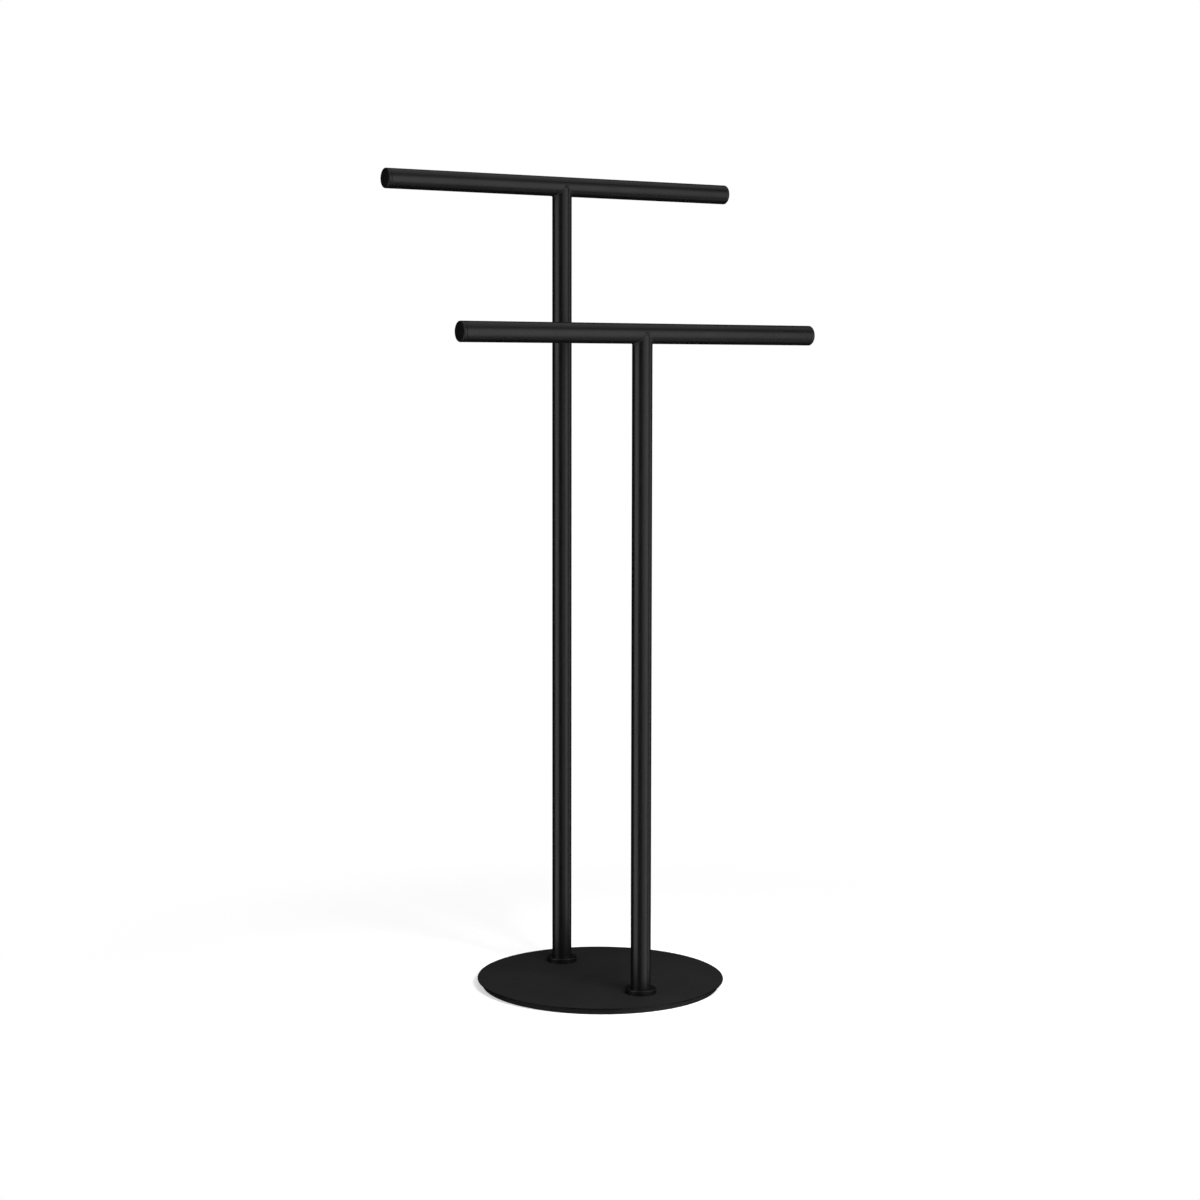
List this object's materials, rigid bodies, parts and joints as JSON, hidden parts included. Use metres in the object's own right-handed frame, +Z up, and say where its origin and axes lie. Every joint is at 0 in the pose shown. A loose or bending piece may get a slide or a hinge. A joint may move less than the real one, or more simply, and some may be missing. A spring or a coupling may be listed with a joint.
{
  "type": "freestanding towel stand",
  "caption": "Freestanding stand with T-shaped round-tube racks of unequal height, one behind the other, on a thin round base.",
  "frame": {"origin": "on the floor, under the middle of the round base", "axes": "+Z up, +X to the right along both bars as seen from the front, -Y to the front, where the shorter rack stands"},
  "size_m": [0.406, 0.25, 0.82],
  "materials": {
    "black_steel": "satin black powder coat with a fine grain",
    "black_cap": "satin black moulded nylon",
    "black_rubber": "matt black, faintly pebbled",
    "plain_steel": "bright zinc-plated, turned"
  },
  "bodies": {
    "root": {"base_cover": "black_steel", "base_weight": "black_steel", "non_slip_mat": "black_rubber", "front_collar": "black_steel", "front_post": "black_steel", "front_bar": "black_steel", "front_bar_left_cap": "black_cap", "front_bar_right_cap": "black_cap", "front_left_weld": "black_steel", "front_right_weld": "black_steel", "front_post_insert": "plain_steel", "front_post_screw": "plain_steel", "front_locating_pin": "plain_steel", "rear_collar": "black_steel", "rear_post": "black_steel", "rear_bar": "black_steel", "rear_bar_left_cap": "black_cap", "rear_bar_right_cap": "black_cap", "rear_left_weld": "black_steel", "rear_right_weld": "black_steel", "rear_post_insert": "plain_steel", "rear_post_screw": "plain_steel", "rear_locating_pin": "plain_steel"}
  },
  "joints": []
}
